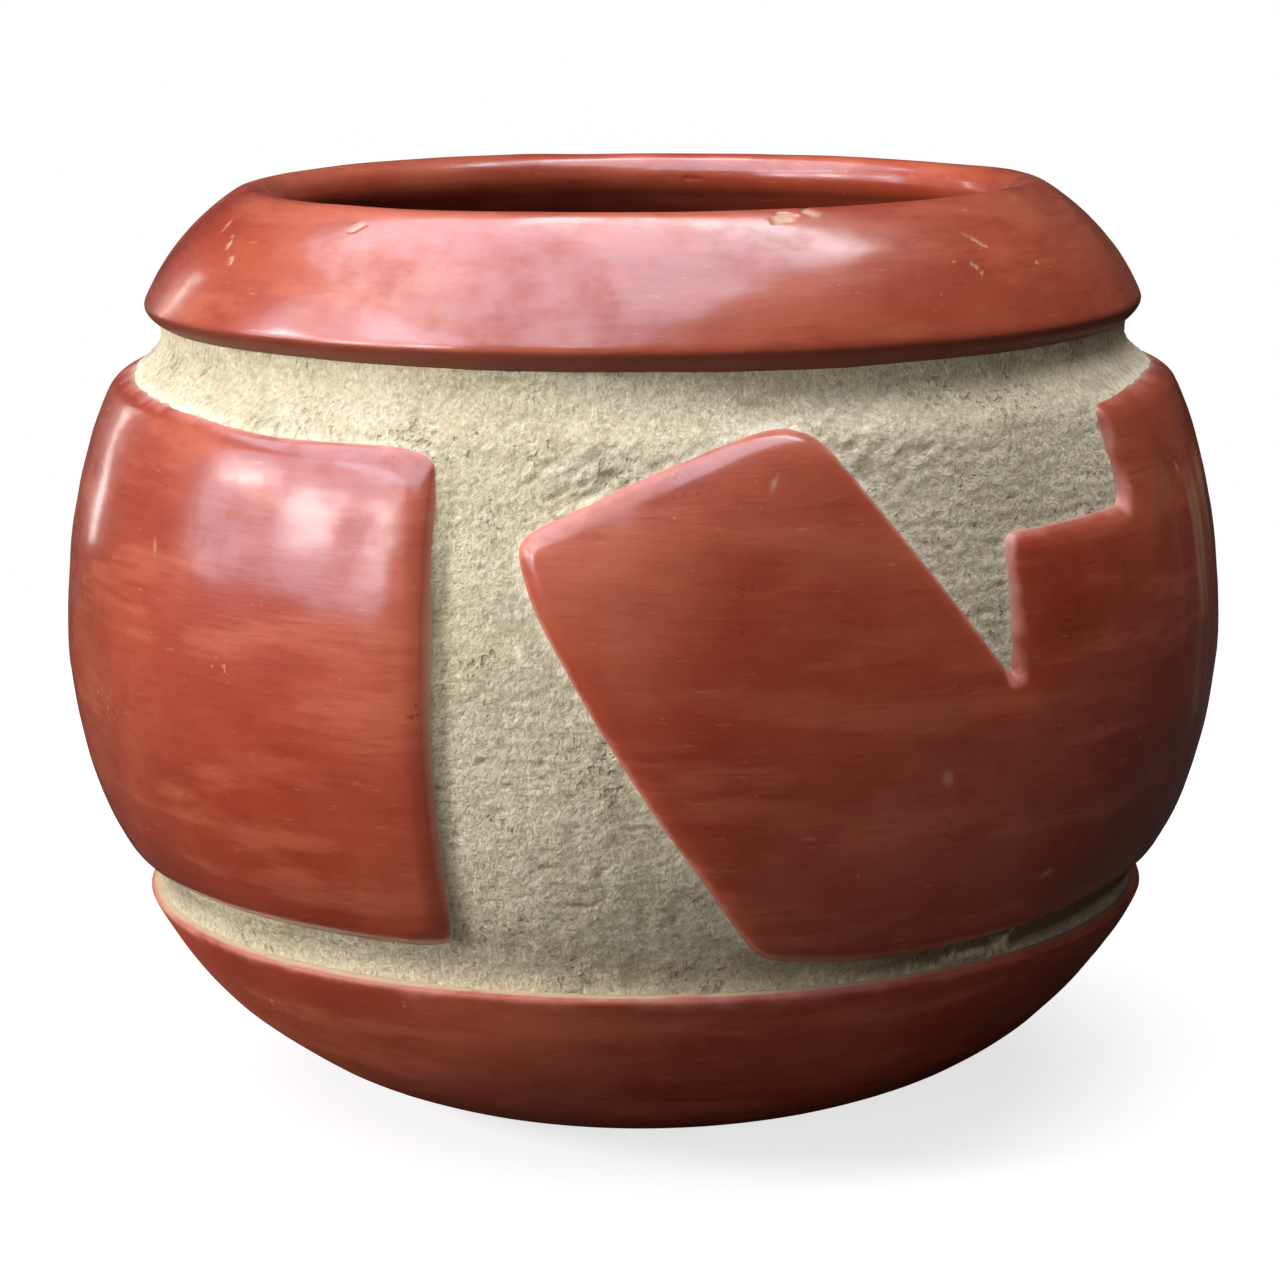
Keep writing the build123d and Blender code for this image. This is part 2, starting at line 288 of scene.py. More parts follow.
def make_piece(name, points, faces, material, marks, seam):
    """A smooth mesh from points in millimetres and faces of four corners (the last repeated on a triangle).

    An edge between two points of a seam is kept sharp.
    """
    triangle = faces[:, 2] == faces[:, 3]
    order = np.concatenate([faces[~triangle].ravel(), faces[triangle][:, :3].ravel()])
    sides = np.concatenate([np.full((~triangle).sum(), 4), np.full(triangle.sum(), 3)])
    starts = np.concatenate([[0], np.cumsum(sides)[:-1]])
    mesh = bpy.data.meshes.new(name)
    mesh.vertices.add(len(points))
    mesh.vertices.foreach_set("co", (points * MM).astype(np.float32).ravel())
    mesh.loops.add(len(order))
    mesh.loops.foreach_set("vertex_index", order.astype(np.int32))
    mesh.polygons.add(len(sides))
    mesh.polygons.foreach_set("loop_start", starts.astype(np.int32))
    mesh.polygons.foreach_set("use_smooth", np.ones(len(sides), bool))
    mesh.update(calc_edges=True)
    for mark, values in marks.items():
        layer = mesh.attributes.new(mark, "FLOAT", "POINT")
        layer.data.foreach_set("value", values.astype(np.float32).ravel())
    ends = np.empty(2 * len(mesh.edges), np.int32)
    mesh.edges.foreach_get("vertices", ends)
    crisp = mesh.attributes.new("sharp_edge", "BOOLEAN", "EDGE")
    crisp.data.foreach_set("value", seam.ravel()[ends.reshape(-1, 2)].all(axis=1))
    mesh.materials.append(material)
    piece = bpy.data.objects.new(name, mesh)
    bpy.context.scene.collection.objects.link(piece)
    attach(piece, "root")
    return piece


def ring_faces(rounds, rows):
    """Faces of a grid that closes on itself both round the pot and along its section."""
    index = np.arange(rounds * rows).reshape(rounds, rows)
    across = np.roll(index, -1, axis=0)
    corners = (index, across, np.roll(across, -1, axis=1), np.roll(index, -1, axis=1))
    return np.stack(corners, axis=-1).reshape(-1, 4)


def section_normals(line):
    """Unit normals of a section line, to the right of the way it is drawn."""
    way = np.gradient(line, axis=0)
    way /= np.linalg.norm(way, axis=1, keepdims=True)
    return np.stack([way[:, 1], -way[:, 0]], axis=1)


def hand_wobble(points):
    """The unevenness of hand building, shared by all pieces: two broad noises, in millimetres."""
    return 0.75 * noise(points, 140, 3) + 0.3 * noise(points, 55, 4)


def spin(line, relief, steps=ROUND_STEPS):
    """A section line turned round the pot, each point moved along its normal by the wobble and the relief."""
    angle = np.linspace(0, 2 * pi, steps, endpoint=False)[:, None]
    plain = around(angle, line[None, :, 0], line[None, :, 1])
    out = hand_wobble(plain) + relief(plain)
    normal = section_normals(line)
    radius = line[None, :, 0] + normal[None, :, 0] * out
    level = line[None, :, 1] + normal[None, :, 1] * out
    return around(angle, radius, level)


def joint_rows(start, end):
    """Rows of a joint's face, on straight lines from one edge to the other."""
    share = np.arange(1, JOINT_ROWS + 1)[None, :, None] / (JOINT_ROWS + 1)
    return start[:, None, :] * (1 - share) + end[:, None, :] * share


def closed_ring(outside, inside):
    """A ring's section rows: up the outside, over the top joint, down the inside and back below."""
    top = joint_rows(outside[:, -1], inside[:, 0])
    bottom = joint_rows(inside[:, -1], outside[:, 0])
    rows = np.concatenate([outside, top, inside, bottom], axis=1)
    first = outside.shape[1] + top.shape[1]
    last = first + inside.shape[1] - 1
    return rows, seam_rows(rows, [0, outside.shape[1] - 1, first, last])


def seam_rows(rows, numbers):
    """True at the points of the numbered rows."""
    seam = np.zeros(rows.shape[:2], bool)
    seam[:, numbers] = True
    return seam


# The panels' outline, in degrees round the pot and millimetres of level

TIP = (-12.4, 217.7)
BAR_EDGE = [(-10.2, 197.0), (-4.2, 161.0), (0.9, 132.6), (5.0, 112.3)]
BAR_FOOT = (11.3, 82.2)
BOTTOM_EDGE = [(22.0, 78.3), (33.0, 78.5), (47.0, 80.3), (62.0, 83.0), (95.0, 84.8), (130.0, 84.6)]
END_FOOT = (161.2, 85.0)
END_HEAD = (160.7, 243.5)
TOP_EDGE = [(140.0, 243.0), (122.0, 246.5), (98.0, 249.5), (74.0, 250.3), (62.0, 249.0)]
BLOCK = (53.4, 246.5)
STEP_BACK = (54.2, 215.8)
STEP_CORNER = (36.1, 213.5)
NOTCH = (35.8, 170.3)
PEAK_RIGHT = (17.7, 246.6)
PEAK = (14.6, 250.4)
PEAK_LEFT = (9.8, 247.6)
BAR_SHOULDER = (0.8, 237.4)


def flat(places):
    """Places on the pot's wall laid out flat: length round the pot at one radius, and level."""
    places = np.asarray(places, float)
    return np.stack([np.radians(places[..., 0]) * FLAT_RADIUS, places[..., 1]], axis=-1)


def rounded_loop(line, step, softness):
    """A closed line of even steps with its corners rounded by a bell-weighted mean of neighbours."""
    reach = bell_reach(softness, step)
    return bell_mean(np.concatenate([line[-reach:], line, line[:reach]]), softness, step)


def panel_outline():
    """The closed outline, its corners rounded, with lengths along it, its whole length and each corner's."""
    lower = [TIP, *BAR_EDGE, BAR_FOOT, *BOTTOM_EDGE, END_FOOT]
    block = [END_HEAD, *TOP_EDGE, BLOCK, STEP_BACK, STEP_CORNER, NOTCH]
    upper = block + [PEAK_RIGHT, PEAK, PEAK_LEFT, BAR_SHOULDER]
    corners = flat(lower + upper + [TIP])
    lengths = lengths_along(corners)
    whole = lengths[-1]
    at = dict(zip(lower + upper, lengths))
    count = int(whole / 0.4)
    places = np.linspace(0, whole, count, endpoint=False)
    line = on_line(corners, lengths, places)
    step = whole / count
    stepped = smooth(at[BLOCK] - 16, at[BLOCK] - 10, places)
    stepped = stepped * smooth(at[STEP_CORNER] + 16, at[STEP_CORNER] + 10, places)
    sharp = np.exp(-((places - at[NOTCH]) / 9.0) ** 2)
    from_end = np.minimum(np.abs(places - at[END_HEAD]), np.abs(places - at[END_FOOT]))
    ended = smooth(46, 30, from_end)
    plain = (1 - stepped) * (1 - sharp) * (1 - ended)
    blocky = stepped * (1 - sharp)
    shares = ((OUTLINE_ROUND, plain), (END_ROUND, ended), (STEP_ROUND, blocky), (NOTCH_ROUND, sharp))
    rounded = sum(rounded_loop(line, step, softness) * share[:, None] for softness, share in shares)
    return rounded, places, whole, at


OUTLINE, OUTLINE_LENGTHS, OUTLINE_WHOLE, OUTLINE_AT = panel_outline()


def on_outline(lengths):
    """Points of the outline at lengths along it."""
    closed = np.concatenate([OUTLINE, OUTLINE[:1]])
    ends = np.concatenate([OUTLINE_LENGTHS, [OUTLINE_WHOLE]])
    return on_line(closed, ends, np.mod(lengths, OUTLINE_WHOLE))


def outline_gap(points, line, soft=False, chunk=3000):
    """Distance of flat points from a line: the least distance to any of its straight steps.

    The soft distance adds up the steps by the inverse fourth power of their distances instead, so that
    it has no crease where two edges are equally near.
    """
    start = line[:-1].astype(np.float32)
    step = (line[1:] - line[:-1]).astype(np.float32)
    square = np.maximum((step ** 2).sum(axis=1), 1e-6)
    flat_points = points.reshape(-1, 2).astype(np.float32)
    gaps = []
    for first in range(0, len(flat_points), chunk):
        part = flat_points[first:first + chunk]
        across = part[:, :1] - start[:, 0]
        up = part[:, 1:] - start[:, 1]
        share = np.clip((across * step[:, 0] + up * step[:, 1]) / square, 0, 1)
        away = (across - share * step[:, 0]) ** 2 + (up - share * step[:, 1]) ** 2
        if soft:
            pull = (np.sqrt(square) / np.maximum(away, 1e-4) ** 2).sum(axis=1)
            gaps.append((pull * 2 / pi) ** (-1 / 3))
        else:
            gaps.append(np.sqrt(away.min(axis=1)))
    return np.concatenate(gaps).reshape(points.shape[:-1]).astype(float)


def panel_columns():
    """Lower and upper ends of the panel's columns, paired so that the straight columns never cross.

    The upper stops are the tip, the peak, the notch, the step's two corners, the block and the end. Each has
    its stop on the lower edge and its share of the columns.
    """
    pair_shares = [0.0, 0.183, 0.323, 0.456, 0.529, 0.583, 1.0]
    tip_cut = 1.4
    foot = OUTLINE_AT[BAR_FOOT]
    per_degree = radians(1) * FLAT_RADIUS
    under = [foot + (angle - BAR_FOOT[0]) * per_degree for angle in (12.6, 36.0, 75.0, 88.0, 100.0)]
    lower_stops = [tip_cut, *under, OUTLINE_AT[END_FOOT]]
    over = [OUTLINE_AT[corner] for corner in (PEAK, NOTCH, STEP_CORNER, STEP_BACK, BLOCK)]
    upper_stops = [OUTLINE_WHOLE - tip_cut, *over, OUTLINE_AT[END_HEAD]]
    even = np.linspace(0, 1, PANEL_COLUMNS)
    share = 1.059 * even - 0.059 * even ** 12
    lower = on_outline(np.interp(share, pair_shares, lower_stops))
    upper = on_outline(np.interp(share, pair_shares, upper_stops))
    return lower, upper


def panel_grid():
    """The panel's grid laid flat: straight columns, rows crowding to both edges, and gaps to the outline."""
    lower, upper = panel_columns()
    crowd = 1.9
    even = np.linspace(-1, 1, PANEL_ROWS)
    share = (0.5 + 0.5 * np.tanh(crowd * even) / np.tanh(crowd))[None, :, None]
    grid = lower[:, None, :] * (1 - share) + upper[:, None, :] * share
    grid[-1] = on_outline(np.linspace(OUTLINE_AT[END_FOOT], OUTLINE_AT[END_HEAD], PANEL_ROWS))
    closed = np.concatenate([OUTLINE[::3], OUTLINE[:1]])
    gap = outline_gap(grid, closed)
    pillow = outline_gap(grid, closed, soft=True)
    edge = np.zeros(gap.shape, bool)
    edge[[0, -1], :] = True
    edge[:, [0, -1]] = True
    gap[edge] = 0
    pillow[edge] = 0
    return grid, gap, pillow, edge


# Nicks and crumbs, as seen at the front and made up for the back: degrees round, level, half length,
# half height, slant in degrees

COLLAR_NICKS = [
    (18.5, 308.4, 4.6, 1.3, 10.0), (22.8, 309.3, 3.0, 0.9, 0.0), (-66.0, 301.0, 2.6, 0.8, -50.0),
    (-60.5, 296.4, 3.0, 0.7, -40.0), (-57.0, 292.5, 2.0, 0.7, -40.0), (-38.4, 304.6, 2.2, 0.8, 20.0),
    (44.2, 298.6, 3.4, 0.5, -35.0), (41.4, 291.6, 2.2, 0.5, -50.0), (52.2, 291.2, 2.2, 0.4, 60.0),
    (97.0, 296.0, 3.4, 0.7, 30.0), (171.0, 301.5, 4.0, 0.8, 5.0), (-128.0, 294.0, 3.0, 0.7, 60.0),
]
PANEL_NICKS = [
    (66.5, 222.0, 1.3, 0.9, 0.0), (12.2, 234.2, 2.0, 0.5, 60.0), (28.2, 141.2, 2.2, 0.6, -40.0),
    (43.0, 101.7, 3.0, 0.5, 10.0), (-53.0, 205.0, 2.8, 0.5, 80.0), (-41.0, 128.0, 2.0, 0.6, 30.0),
    (128.0, 190.0, 2.4, 0.6, 20.0), (205.0, 150.0, 2.6, 0.6, -50.0), (238.0, 215.0, 2.0, 0.6, 0.0),
]
GROUND_CRUMBS = [
    (-12.3, 135.5, 2.2, 2.8, 70.0), (-11.4, 185.0, 1.4, 3.2, 20.0), (-8.5, 142.0, 1.4, 1.2, 0.0),
    (168.0, 176.0, 2.2, 1.6, 30.0), (171.0, 122.0, 1.8, 1.4, 0.0),
]

# Middles of the patches dragged on a slant: degrees round, level
SCRAPED_PATCHES = [(-6.0, 236.0), (24.0, 240.0), (171.0, 232.0), (204.0, 226.0)]


def angle_apart(points, angle):
    """Degrees from each point to an angle round the pot, the short way."""
    turn = np.degrees(np.arctan2(points[..., 0], -points[..., 1])) - angle
    return np.mod(turn + 180, 360) - 180


def nicked(points, places):
    """Where the listed nicks lie, from 0 to 1: slanted ovals with ragged edges."""
    total = np.zeros(points.shape[:-1])
    ragged = 0.7 * noise(points, (3.0, 3.0, 1.2), 51)
    radius = np.hypot(points[..., 0], points[..., 1])
    for angle, level, long, tall, slant in places:
        across = np.radians(angle_apart(points, angle)) * radius
        up = points[..., 2] - level
        along = across * cos(radians(slant)) + up * sin(radians(slant))
        aside = up * cos(radians(slant)) - across * sin(radians(slant))
        total = np.maximum(total, smooth(1.3, 0.5, np.hypot(along / long, aside / tall) + ragged))
    return total


# Fine relief of the surfaces, in millimetres

def scraped_relief(points):
    """Scraped ground: level drags above, upright ones below, slanted ones in patches, grain and pits."""
    low_part = smooth(165, 135, points[..., 2] + 18 * noise(points, 60, 11))
    level_drag = 0.16 * noise(points, (12, 12, 2.4), 12) + 0.08 * noise(points, (4, 4, 2.0), 13)
    upright_drag = 0.18 * noise(points, (4.0, 4.0, 17), 14)
    drag = level_drag * (1 - low_part) + upright_drag * low_part
    grain = 0.20 * noise(points, (4.4, 4.4, 2.0), 15) + 0.12 * noise(points, (2.8, 2.8, 1.5), 35)
    broad = 0.4 * noise(points, (30, 30, 16), 16)
    return drag + grain + broad + slanted_drags(points) - 0.4 * scraped_pits(points)


def slanted_drags(points):
    """Patches of the shoulder dragged upwards to the right: noise stretched along that slant."""
    total = np.zeros(points.shape[:-1])
    for angle, level in SCRAPED_PATCHES:
        across = np.radians(angle_apart(points, angle)) * FLAT_RADIUS
        up = points[..., 2] - level
        patch = np.exp(-(across / 34) ** 2 - (up / 15) ** 2)
        along = 0.88 * across + 0.47 * up
        aside = 0.88 * up - 0.47 * across
        drags = np.stack([along, aside, 0 * up + angle], axis=-1)
        lines = noise(drags, (8, 1.9, 5), 26) + 0.5 * noise(drags, (4, 1.5, 5), 36)
        total = total + 0.6 * patch * lines
    return total


def scraped_pits(points):
    """Where crumbs were dragged out of the ground, from 0 to 1."""
    spots = noise(points, (4.4, 4.4, 2.6), 17) + 0.35 * noise(points, (3.0, 3.0, 1.8), 18)
    bare = 0.2 * noise(points, 45, 19)
    return smooth(0.72, 1.0, spots + bare)


def burnished_relief(points):
    """Burnished slip: shallow flats left by the polishing stone, longer round the pot than up it."""
    flats = 0.26 * noise(points, (46, 46, 13), 21) + 0.14 * noise(points, (22, 22, 9), 22)
    return flats + 0.03 * noise(points, (7, 7, 3.5), 25)


def inside_relief(points):
    """The inside: finger-smoothed coils, a ridge to each, with shallow finger marks."""
    coil = (COLLAR_FOOT - BASE_TOP) / COILS
    ridge = 0.5 * np.cos(2 * pi * (points[..., 2] - BASE_TOP) / coil + 0.8 * noise(points, 70, 23))
    return ridge + 0.5 * noise(points, (26, 26, 14), 24)


# Finishes

def node_maker(tree):
    """A short way to add a node with its settings and its input values."""
    def add(kind, inputs=None, **settings):
        node = tree.nodes.new(kind)
        for name, value in settings.items():
            setattr(node, name, value)
        for name, value in (inputs or {}).items():
            socket = node.inputs[name]
            if isinstance(value, bpy.types.NodeSocket):
                tree.links.new(value, socket)
            else:
                socket.default_value = value
        return node
    return add


def new_group(name, inputs, outputs):
    """An empty shader node group with named sockets, with its adder, its inputs and its output node."""
    group = bpy.data.node_groups.new(name, "ShaderNodeTree")
    for socket, value in inputs.items():
        made = group.interface.new_socket(socket, in_out="INPUT", socket_type="NodeSocketFloat")
        made.default_value = value
    for socket in outputs:
        group.interface.new_socket(socket, in_out="OUTPUT", socket_type="NodeSocketFloat")
    entry = group.nodes.new("NodeGroupInput")
    end = group.nodes.new("NodeGroupOutput")
    return group, node_maker(group), entry.outputs, end


def streak_group():
    """Strokes along or across the pot: noise on Object coordinates with the height squeezed or drawn out."""
    group, add, given, end = new_group("level_strokes", {"Scale": 60.0, "Squeeze": 9.0}, ["Mask"])
    place = add("ShaderNodeTexCoord").outputs["Object"]
    squeeze = add("ShaderNodeCombineXYZ", {"X": 1.0, "Y": 1.0, "Z": given["Squeeze"]})
    long = add("ShaderNodeVectorMath", {0: place, 1: squeeze.outputs[0]}, operation="MULTIPLY")
    inputs = {"Vector": long.outputs[0], "Scale": given["Scale"], "Detail": 4.0, "Roughness": 0.6}
    field = add("ShaderNodeTexNoise", inputs)
    group.links.new(field.outputs["Fac"], end.inputs["Mask"])
    return group


def speckle_group():
    """Sparse specks: the bright cores of a fine noise, kept where a broader noise allows them."""
    group, add, given, end = new_group("specks", {"Scale": 300.0, "Rarity": 0.68, "Patch": 25.0}, ["Mask"])
    place = add("ShaderNodeTexCoord").outputs["Object"]
    fine = add("ShaderNodeTexNoise", {"Vector": place, "Scale": given["Scale"], "Detail": 2.0})
    broad = add("ShaderNodeTexNoise", {"Vector": place, "Scale": given["Patch"], "Detail": 2.0})
    both = add("ShaderNodeMath", {0: fine.outputs["Fac"], 1: broad.outputs["Fac"]}, operation="ADD")
    halved = add("ShaderNodeMath", {0: both.outputs[0], 1: 0.5}, operation="MULTIPLY")
    over = add("ShaderNodeMath", {0: halved.outputs[0], 1: given["Rarity"]}, operation="SUBTRACT")
    sharp = add("ShaderNodeMath", {0: over.outputs[0], 1: 30.0}, operation="MULTIPLY", use_clamp=True)
    group.links.new(sharp.outputs[0], end.inputs["Mask"])
    return group


LEVEL_STROKES = streak_group()
SPECKS = speckle_group()


def finish_base(name):
    """A new material, with its adder, its Principled shader and its links."""
    material = bpy.data.materials.new(name)
    material.use_nodes = True
    tree = material.node_tree
    shader = tree.nodes["Principled BSDF"]
    return material, node_maker(tree), shader, tree.links


def mark(add, name):
    """The value of one of the mesh's own marks."""
    return add("ShaderNodeAttribute", attribute_name=name).outputs["Fac"]


def ramp(add, value, low, high):
    """0 below low and 1 above high, eased."""
    inputs = {"Value": value, "From Min": low, "From Max": high}
    return add("ShaderNodeMapRange", inputs, interpolation_type="SMOOTHSTEP").outputs["Result"]


def blend(add, share, first, second):
    """The second colour laid over the first by a share."""
    node = add("ShaderNodeMix", data_type="RGBA", blend_type="MIX")
    for socket, value in (("Factor", share), ("A", first), ("B", second)):
        target = next(s for s in node.inputs if s.name == socket and s.enabled)
        if isinstance(value, bpy.types.NodeSocket):
            node.id_data.links.new(value, target)
        elif socket == "Factor":
            target.default_value = value
        else:
            target.default_value = (*value, 1.0)
    return next(s for s in node.outputs if s.enabled)


def value_of(add, operation, first, second):
    """A sum, product or other step on two values, kept within 0 to 1."""
    return add("ShaderNodeMath", {0: first, 1: second}, operation=operation, use_clamp=True).outputs[0]


def strokes(add, scale, squeeze):
    """Strokes of a given scale: level where the height is squeezed by more than 1, upright by less."""
    group = add("ShaderNodeGroup", node_tree=LEVEL_STROKES)
    group.inputs["Scale"].default_value = scale
    group.inputs["Squeeze"].default_value = squeeze
    return group.outputs["Mask"]


def specks(add, scale, rarity, patch):
    """Sparse specks of a given scale and rarity, gathered in patches."""
    group = add("ShaderNodeGroup", node_tree=SPECKS)
    group.inputs["Scale"].default_value = scale
    group.inputs["Rarity"].default_value = rarity
    group.inputs["Patch"].default_value = patch
    return group.outputs["Mask"]


def cloud(add, scale, roughness=0.6, detail=5.0):
    """Soft cloudy noise on Object coordinates."""
    place = add("ShaderNodeTexCoord").outputs["Object"]
    inputs = {"Vector": place, "Scale": scale, "Detail": detail, "Roughness": roughness}
    return add("ShaderNodeTexNoise", inputs).outputs["Fac"]


def scaled(add, value, share):
    """A value times a plain number."""
    return add("ShaderNodeMath", {0: value, 1: share}, operation="MULTIPLY").outputs[0]


def tinted(add, colour, mask, low, high, share, tone):
    """A tone laid over a colour where a mask goes from low to high, at most by a share."""
    return blend(add, scaled(add, ramp(add, mask, low, high), share), colour, tone)


# Colours of the slip
SLIP_RED = (0.45, 0.096, 0.047)
SLIP_DEEP_RED = (0.32, 0.042, 0.017)
SLIP_PATCH = (0.31, 0.052, 0.022)
SLIP_PALE_BAND = (0.54, 0.14, 0.074)
SLIP_DARK_STROKE = (0.25, 0.034, 0.015)
SLIP_SCUFF = (0.62, 0.24, 0.15)
SLIP_PALE_SPECK = (0.66, 0.32, 0.21)
SLIP_DARK_SPECK = (0.17, 0.026, 0.012)
# rubbed pink, also a painted highlight on the stepped block's edges that face the light
SLIP_RUBBED_AND_LIT = (0.70, 0.28, 0.235)
SLIP_WEATHERED = (0.46, 0.34, 0.21)
SLIP_CHIPPED = (0.76, 0.66, 0.45)
# the dark inside tone, also laid as painted shade under the collar's nose and deep in its throat
SLIP_INSIDE_AND_SHADE = (0.13, 0.028, 0.014)

# Colours of the scraped clay
CLAY_BUFF = (0.72, 0.65, 0.47)
CLAY_GREY = (0.59, 0.53, 0.365)
CLAY_PALE_DRAG = (0.77, 0.71, 0.54)
CLAY_DARK_DRAG = (0.52, 0.45, 0.28)
CLAY_CRUMB = (0.50, 0.44, 0.28)
CLAY_DARK_SAND = (0.42, 0.365, 0.225)
CLAY_PALE_SAND = (0.92, 0.87, 0.70)
CLAY_PIT = (0.31, 0.255, 0.145)
# grime, also laid as painted shadow under the panels' lower edges and beside their ends
CLAY_GRIME_AND_SHADOW = (0.16, 0.12, 0.065)
CLAY_INSIDE = (0.17, 0.065, 0.04)


def red_slip():
    """Burnished red slip.

    Mottled reds with level strokes, scuffs and specks, pink where edges are rubbed and buff where it is
    chipped or weathered. On the stepped block's edges the pink is also a painted highlight. Deep in the
    collar's throat and under its nose it goes to the dark inside tone as painted shade. Its polished coat is
    thinner in patches and gone where the slip is worn.
    """
    material, add, shader, links = finish_base("red_slip")
    broad = cloud(add, 11.0)
    patch = cloud(add, 36.0, 0.65)
    band = strokes(add, 14.0, 5.0)
    fine_band = strokes(add, 60.0, 9.0)
    scuff = strokes(add, 110.0, 6.0)
    colour = blend(add, ramp(add, broad, 0.32, 0.68), SLIP_RED, SLIP_DEEP_RED)
    colour = tinted(add, colour, patch, 0.50, 0.72, 0.6, SLIP_PATCH)
    colour = tinted(add, colour, band, 0.48, 0.66, 0.46, SLIP_PALE_BAND)
    colour = tinted(add, colour, fine_band, 0.54, 0.72, 0.36, SLIP_DARK_STROKE)
    colour = tinted(add, colour, scuff, 0.64, 0.74, 0.4, SLIP_SCUFF)
    colour = blend(add, scaled(add, specks(add, 420.0, 0.675, 30.0), 0.55), colour, SLIP_PALE_SPECK)
    colour = blend(add, scaled(add, specks(add, 560.0, 0.655, 45.0), 0.5), colour, SLIP_DARK_SPECK)
    wear_and_highlight = mark(add, "wear_and_highlight")
    # pink of rubbed edges, and the painted highlight on the block's steps
    rubbed_and_lit = value_of(add, "MULTIPLY", wear_and_highlight, ramp(add, patch, 0.26, 0.58))
    colour = blend(add, rubbed_and_lit, colour, SLIP_RUBBED_AND_LIT)
    upright = ramp(add, strokes(add, 75.0, 0.22), 0.42, 0.66)
    runs = value_of(add, "MULTIPLY", mark(add, "weathered"), upright)
    colour = blend(add, scaled(add, runs, 0.6), colour, SLIP_WEATHERED)
    bare = mark(add, "bare")
    colour = blend(add, bare, colour, SLIP_CHIPPED)
    # the inside's dark tone; on the collar it is also painted shade
    colour = blend(add, mark(add, "inside"), colour, SLIP_INSIDE_AND_SHADE)
    links.new(colour, shader.inputs["Base Color"])
    polish = mark(add, "polish")
    gloss = add("ShaderNodeMapRange", {"Value": polish, "To Min": 0.65, "To Max": 0.36}).outputs["Result"]
    rough = add("ShaderNodeMix", {"Factor": scaled(add, wear_and_highlight, 0.6), "A": gloss, "B": 0.6}).outputs[0]
    rough = add("ShaderNodeMix", {"Factor": bare, "A": rough, "B": 0.9}).outputs[0]
    links.new(rough, shader.inputs["Roughness"])
    uneven = value_of(add, "ADD", scaled(add, ramp(add, patch, 0.66, 0.40), 0.6), scaled(add, fine_band, 0.7))
    lost = value_of(add, "MAXIMUM", value_of(add, "MAXIMUM", bare, runs), scaled(add, wear_and_highlight, 0.7))
    kept = value_of(add, "SUBTRACT", 1.0, lost)
    sheen = value_of(add, "MULTIPLY", value_of(add, "MULTIPLY", polish, uneven), kept)
    links.new(sheen, shader.inputs["Coat Weight"])
    shader.inputs["Coat Roughness"].default_value = 0.17
    shader.inputs["Coat IOR"].default_value = 1.65
    shader.inputs["Specular IOR Level"].default_value = 0.35
    height = value_of(add, "ADD", scaled(add, fine_band, 0.6), scaled(add, cloud(add, 420.0, 0.5, 3.0), 0.2))
    bump = add("ShaderNodeBump", {"Height": height, "Strength": 0.32, "Distance": 0.0006})
    links.new(bump.outputs["Normal"], shader.inputs["Normal"])
    return material


def scraped_clay():
    """Bare scraped clay: buff and greyish patches, drags, sandy grain, pits, grime with painted shadow, pale
    crumbs and edges.
    """
    material, add, shader, links = finish_base("scraped_clay")
    broad = cloud(add, 20.0, 0.62, 6.0)
    sand = cloud(add, 560.0, 0.7, 4.0)
    crumbs = cloud(add, 230.0, 0.65, 5.0)
    holes = specks(add, 330.0, 0.61, 40.0)
    drag = strokes(add, 70.0, 3.0)
    upright = strokes(add, 190.0, 0.22)
    colour = blend(add, ramp(add, broad, 0.36, 0.66), CLAY_BUFF, CLAY_GREY)
    colour = tinted(add, colour, drag, 0.45, 0.68, 0.6, CLAY_PALE_DRAG)
    colour = tinted(add, colour, upright, 0.52, 0.70, 0.35, CLAY_DARK_DRAG)
    colour = tinted(add, colour, crumbs, 0.52, 0.66, 0.4, CLAY_CRUMB)
    colour = tinted(add, colour, sand, 0.50, 0.64, 0.65, CLAY_DARK_SAND)
    colour = tinted(add, colour, sand, 0.47, 0.34, 0.6, CLAY_PALE_SAND)
    pits = value_of(add, "MAXIMUM", mark(add, "pit"), holes)
    colour = blend(add, scaled(add, pits, 0.5), colour, CLAY_PIT)
    # grime and painted shadow in the groove and beside the panels' ends
    colour = blend(add, mark(add, "grime_and_shadow"), colour, CLAY_GRIME_AND_SHADOW)
    halo = value_of(add, "MULTIPLY", mark(add, "halo"), ramp(add, crumbs, 0.66, 0.42))
    colour = blend(add, halo, colour, CLAY_PALE_SAND)
    colour = blend(add, mark(add, "inside"), colour, CLAY_INSIDE)
    links.new(colour, shader.inputs["Base Color"])
    shader.inputs["Roughness"].default_value = 0.92
    shader.inputs["Specular IOR Level"].default_value = 0.2
    grain = value_of(add, "ADD", scaled(add, sand, 0.55), scaled(add, crumbs, 0.35))
    height = value_of(add, "SUBTRACT", grain, scaled(add, holes, 0.3))
    bump = add("ShaderNodeBump", {"Height": height, "Strength": 0.9, "Distance": 0.0024})
    links.new(bump.outputs["Normal"], shader.inputs["Normal"])
    return material


RED_SLIP = red_slip()
SCRAPED_CLAY = scraped_clay()


# The pieces

